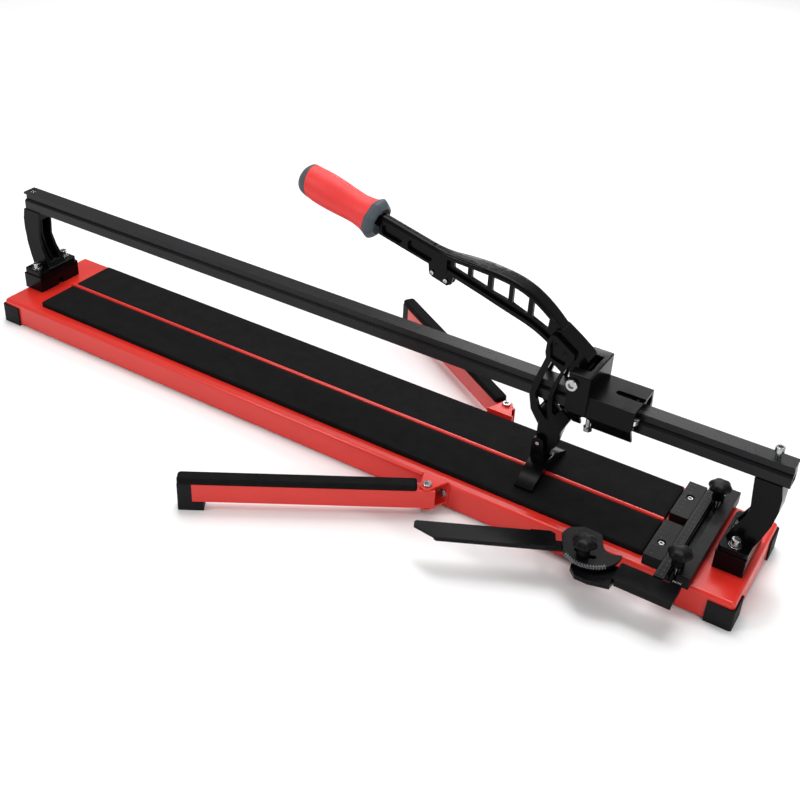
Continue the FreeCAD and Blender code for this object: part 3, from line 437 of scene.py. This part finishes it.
def knob(node, body):
    low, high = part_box(node)
    joint = [j for j in frame["joints"] if j["child"] == body][0]
    x, y = joint["pos_m"][0], joint["pos_m"][1]
    radius = (high.y - low.y) / 2
    top = high.z
    base = top - KNOB_HEIGHT
    profile = [(base, 0.50), (base + 0.8 * MM, 0.54), (base + 3 * MM, 0.54), (base + 9 * MM, 0.48),
               (base + 14 * MM, 0.50), (top - 13.6 * MM, 0.58), (top - 12.2 * MM, 0.76),
               (top - 11.2 * MM, 0.90), (top - 10.2 * MM, 0.97), (top - 8.6 * MM, 0.985),
               (top - 6.4 * MM, 0.95), (top - 4.2 * MM, 0.86), (top - 2.3 * MM, 0.71),
               (top - 1.0 * MM, 0.50), (top - 0.3 * MM, 0.27), (top, 0.02)]
    rings = [(z, share * radius * 1.02) for z, share in profile]
    head = turned_piece(node + "_moulding", rings, (x, y, 0), (0, 0, 1), "knob_plastic", body,
                        lobed(KNOB_LOBES, LOBE_DEPTH, top, LOBED_HEIGHT), 128)
    thread(node + "_stud", (x, y), low.z, base + 0.5 * MM, STUD_RADIUS, STUD_PITCH, body)
    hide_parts(node)


def thread(name, centre, bottom, top, radius, pitch, body):
    """Screw thread as one helical skin."""
    around = 24
    steps = max(8, int((top - bottom) / (pitch / 8)))
    vertices = []
    for i in range(steps + 1):
        z = bottom + (top - bottom) * i / steps
        for k in range(around):
            angle = 2 * math.pi * k / around
            phase = (z / pitch - k / around) % 1.0
            depth = 0.30 * pitch * abs(2 * phase - 1)
            r = radius - depth
            vertices.append((centre[0] + r * math.cos(angle), centre[1] + r * math.sin(angle), z))
    return piece_from(name, vertices, ring_faces(steps + 1, around), "zinc_steel", body)


def marks(name, bars, height, material, body):
    """Thin raised bars, each (centre, along, across, length, width)."""
    vertices = []
    faces = []
    for centre, direction, across, length, width in bars:
        normal = direction.cross(across)
        base = len(vertices)
        for level, shrink in ((0.0, 1.0), (height, 0.82)):
            for sx, sy in ((-1, -1), (1, -1), (1, 1), (-1, 1)):
                corner = centre + direction * sx * length / 2 + across * sy * width / 2 * shrink
                vertices.append(corner + normal * level)
        faces += [(base + 4, base + 5, base + 6, base + 7), (base + 3, base + 2, base + 1, base)]
        faces += [(base + k, base + (k + 1) % 4, base + 4 + (k + 1) % 4, base + 4 + k) for k in range(4)]
    return piece_from(name, vertices, faces, material, body, smooth=False)


def numerals(name, items, size, height, material, body):
    """Raised numbers, each (text, place, reading direction), joined in one mesh."""
    vertices = []
    faces = []
    for text, place, direction in items:
        curve = bpy.data.curves.new(name, "FONT")
        curve.body = text
        curve.size = size
        curve.align_x = "CENTER"
        curve.align_y = "CENTER"
        curve.extrude = height / 2
        curve.resolution_u = 2
        holder = bpy.data.objects.new(name, curve)
        bpy.context.scene.collection.objects.link(holder)
        mesh = bpy.data.meshes.new_from_object(holder)
        base = len(vertices)
        spots = placed([v.co for v in mesh.vertices], place + Vector((0, 0, height / 2)), direction)
        vertices += spots
        faces += [tuple(base + i for i in p.vertices) for p in mesh.polygons]
        bpy.data.objects.remove(holder)
        bpy.data.meshes.remove(mesh)
        bpy.data.curves.remove(curve)
    return piece_from(name, vertices, faces, material, body, smooth=False)


def ruler_scale():
    low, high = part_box("ruler_bar")
    x_axis, y_axis = Vector((1, 0, 0)), Vector((0, 1, 0))
    bars = []
    items = []
    count = int((high.y - low.y - 6 * MM) / RULER_STEP)
    for i in range(count):
        y = high.y - 4 * MM - i * RULER_STEP
        length = 4.2 * MM if i % 5 == 0 else 2.4 * MM
        centre = Vector((low.x + 0.6 * MM + length / 2, y, high.z))
        bars.append((centre, x_axis, y_axis, length, 0.45 * MM))
        if i % 5 == 0:
            items.append((str(i // 5), Vector((low.x + 9 * MM, y, high.z)), y_axis))
    edge = Vector((high.x - 0.5 * MM, (low.y + high.y) / 2, high.z))
    bars.append((edge, y_axis, -x_axis, high.y - low.y - 1 * MM, 0.35 * MM))
    marks("ruler_ticks", bars, 0.12 * MM, "scale_emboss", "measuring_slide")
    numerals("ruler_numbers", items, 5.0 * MM, 0.14 * MM, "scale_emboss", "measuring_slide")


def fence_scale():
    low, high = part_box("fence_plates")
    x_axis, y_axis = Vector((1, 0, 0)), Vector((0, 1, 0))
    bars = []
    items = []
    for side in (-1, 1):
        for i in range(1, 17):
            y = side * (10 + i * FENCE_STEP) * MM
            if abs(abs(y) - FENCE_SCREW_Y) < 0.1 * MM:
                continue
            length = 4.5 * MM if i % 2 == 0 else 2.6 * MM
            centre = Vector((low.x + 1.5 * MM + length / 2, y, high.z))
            bars.append((centre, x_axis, y_axis, length, 0.55 * MM))
            if i % 2 == 0:
                items.append((str(i // 2), Vector((low.x + 10 * MM, y, high.z)), y_axis))
    marks("fence_ticks", bars, 0.15 * MM, "scale_emboss", "base")
    numerals("fence_numbers", items, 4.6 * MM, 0.16 * MM, "scale_emboss", "base")


def protractor_scale():
    low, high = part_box("protractor_disc")
    hinge = Vector(JOINTS["angle_guide_hinge"]["pos_m"])
    up = Vector((0, 0, 1))
    bars = []
    for i in range(DISC_MARKS):
        angle = math.radians(DISC_START + i * DISC_STEP)
        outward = Vector((math.cos(angle), math.sin(angle), 0))
        across = up.cross(outward)
        tall = (high.z - low.z) * (0.9 if i % 2 == 0 else 0.6)
        rim = Vector((hinge.x, hinge.y, high.z - tall / 2 - 0.1 * MM)) + outward * (DISC_RADIUS - 0.02 * MM)
        bars.append((rim, across, up, 0.6 * MM, tall))
        top_length = 4.0 * MM if i % 2 == 0 else 2.5 * MM
        top = Vector((hinge.x, hinge.y, high.z)) + outward * (DISC_RADIUS - 0.6 * MM - top_length / 2)
        bars.append((top, outward, across, top_length, 0.5 * MM))
    return marks("protractor_ticks", bars, 0.1 * MM, "scale_print", "angle_guide")


def slide_scale():
    low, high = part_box("slide_head")
    x_axis, y_axis = Vector((1, 0, 0)), Vector((0, 1, 0))
    bars = []
    for i in range(7):
        place = Vector((high.x - 14 * MM + i * 1.8 * MM, high.y - 3.2 * MM, high.z))
        bars.append((place, y_axis, -x_axis, 4.0 * MM if i % 2 == 0 else 2.6 * MM, 0.5 * MM))
    return marks("slide_ticks", bars, 0.08 * MM, "scale_print", "measuring_slide")


# CAD nodes

def dress_nodes():
    slots = {entry["node"]: entry["material_slot"] for entry in frame["record"]["subparts"]}
    for name, node in NODES.items():
        paint(node, slots[name])
        mesh = node.data
        if "custom_normal" in mesh.attributes:
            mesh.attributes.remove(mesh.attributes["custom_normal"])
        mesh.polygons.foreach_set("use_smooth", [True] * len(mesh.polygons))
        weld = node.modifiers.new("Weld", "WELD")
        weld.merge_threshold = 0.005 * MM
        bevel = node.modifiers.new("Edges", "BEVEL")
        bevel.width = EDGES.get(name, EDGE_DEFAULT) * MM / 2
        bevel.segments = 2
        bevel.limit_method = "ANGLE"
        bevel.angle_limit = math.radians(28)
        bevel.use_clamp_overlap = False
        bevel.harden_normals = True


# Setting

def studio():
    floor_mesh = bpy.data.meshes.new("floor")
    corners = [(sx * FLOOR_HALF, sy * FLOOR_HALF, 0) for sx, sy in ((-1, -1), (1, -1), (1, 1), (-1, 1))]
    floor_mesh.from_pydata(corners, [], [(0, 1, 2, 3)])
    floor = bpy.data.objects.new("floor", floor_mesh)
    bpy.context.scene.collection.objects.link(floor)
    material, tree, shader, place = node_tree("pale_floor")
    shade = mix_colours(tree, noise_field(tree, place, 3.0), (0.86, 0.86, 0.86), (0.90, 0.90, 0.90))
    tree.links.new(shade, shader.inputs["Base Color"])
    shader.inputs["Roughness"].default_value = 0.9
    floor_mesh.materials.append(material)
    world = bpy.data.worlds.new("studio")
    world.use_nodes = True
    world.node_tree.nodes["Background"].inputs["Color"].default_value = (1.0, 1.0, 1.0, 1.0)
    world.node_tree.nodes["Background"].inputs["Strength"].default_value = 0.40
    bpy.context.scene.world = world


def soft_box(name, place, target, width, depth, power):
    light = bpy.data.lights.new(name, "AREA")
    light.shape = "RECTANGLE"
    light.size = width
    light.size_y = depth
    light.energy = power
    lamp = bpy.data.objects.new(name, light)
    lamp.location = place
    lamp.rotation_mode = "QUATERNION"
    lamp.rotation_quaternion = (Vector(target) - Vector(place)).to_track_quat("-Z", "Y")
    bpy.context.scene.collection.objects.link(lamp)


def lights():
    sun = bpy.data.lights.new("window", "SUN")
    sun.energy = 1.6
    sun.angle = math.radians(40)
    lamp = bpy.data.objects.new("window", sun)
    lamp.rotation_euler = (math.radians(-26), math.radians(-14), 0)
    bpy.context.scene.collection.objects.link(lamp)
    soft_box("overhead", (0.0, 0.3, 3.0), (0, 0, 0), 1.6, 0.7, 26)
    soft_box("key", (-1.6, -2.2, 2.2), (0.0, 0.0, 0.1), 0.8, 0.5, 30)
    soft_box("fill", (2.6, -1.4, 1.8), (0.2, 0.0, 0.1), 0.6, 0.6, 20)
    soft_box("back", (-0.4, 2.8, 1.6), (0.0, 0.0, 0.2), 1.6, 0.3, 20)


def camera():
    """Three-quarter view from the front right, looking down at the bed."""
    data = bpy.data.cameras.new("camera")
    data.sensor_width = 36.0
    data.lens = LENS
    data.shift_y = LENS_SHIFT
    data.clip_start = 0.05
    data.clip_end = 60.0
    view = bpy.data.objects.new("camera", data)
    forward = Vector(CAMERA_FORWARD).normalized()
    right = Vector(CAMERA_RIGHT)
    right = (right - forward * right.dot(forward)).normalized()
    up = right.cross(forward)
    turn = Matrix((right, up, -forward)).transposed().to_4x4()
    view.matrix_world = Matrix.Translation(CAMERA_PLACE) @ turn
    bpy.context.scene.collection.objects.link(view)
    bpy.context.scene.camera = view


dress_nodes()
base_pads()
arm_pads()
handle()
knob("angle_knob", "angle_knob_body")
knob("front_clamp_knob", "front_knob_body")
knob("rear_clamp_knob", "rear_knob_body")
ruler_scale()
fence_scale()
protractor_scale()
slide_scale()
studio()
lights()
camera()
bpy.context.scene.view_settings.view_transform = "Standard"
